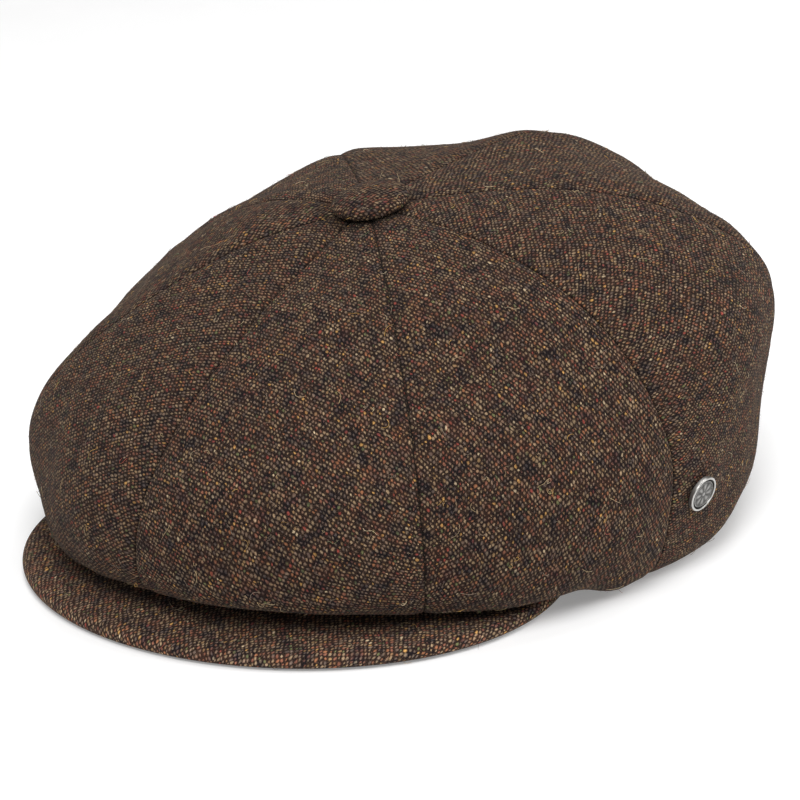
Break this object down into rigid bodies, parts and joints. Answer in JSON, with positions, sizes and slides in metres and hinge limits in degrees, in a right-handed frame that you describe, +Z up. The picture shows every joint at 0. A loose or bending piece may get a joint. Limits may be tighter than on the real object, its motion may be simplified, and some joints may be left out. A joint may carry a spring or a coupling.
{
  "type": "newsboy cap",
  "caption": "Soft full-crowned tweed cap with a covered top button, a short stiffened peak and a small side badge, lined inside.",
  "frame": {"origin": "centre of the head opening, on the plane that the headband stands on", "axes": "+Z up through the crown, -Y to the front, where the peak is, and +X to the wearer's left, where the badge is"},
  "size_m": [0.2569, 0.2915, 0.1259],
  "materials": {
    "tweed": "woollen birdseye tweed, dark brown with blue-black, rust, gold and green flecks",
    "satin": "smooth satin",
    "cotton": "cotton twill",
    "board": "matte",
    "steel": "plain",
    "silver": "antiqued, dark in the recesses",
    "label": "woven taffeta"
  },
  "bodies": {
    "root": {"crown_panel_front_left": "tweed", "crown_panel_side_front_left": "tweed", "crown_panel_side_back_left": "tweed", "crown_panel_back_left": "tweed", "crown_panel_back_right": "tweed", "crown_panel_side_back_right": "tweed", "crown_panel_side_front_right": "tweed", "crown_panel_front_right": "tweed", "button_cover": "tweed", "button_shell": "steel", "button_back": "steel", "button_anchor": "cotton", "headband": "tweed", "peak_top_cover": "tweed", "peak_board": "board", "peak_under_cover": "tweed", "sweatband": "cotton", "lining_gore_front_left": "satin", "lining_gore_side_front_left": "satin", "lining_gore_side_back_left": "satin", "lining_gore_back_left": "satin", "lining_gore_back_right": "satin", "lining_gore_side_back_right": "satin", "lining_gore_side_front_right": "satin", "lining_gore_front_right": "satin", "woven_label": "label", "size_tab": "label", "badge": "silver", "badge_clutch": "steel"}
  },
  "joints": []
}
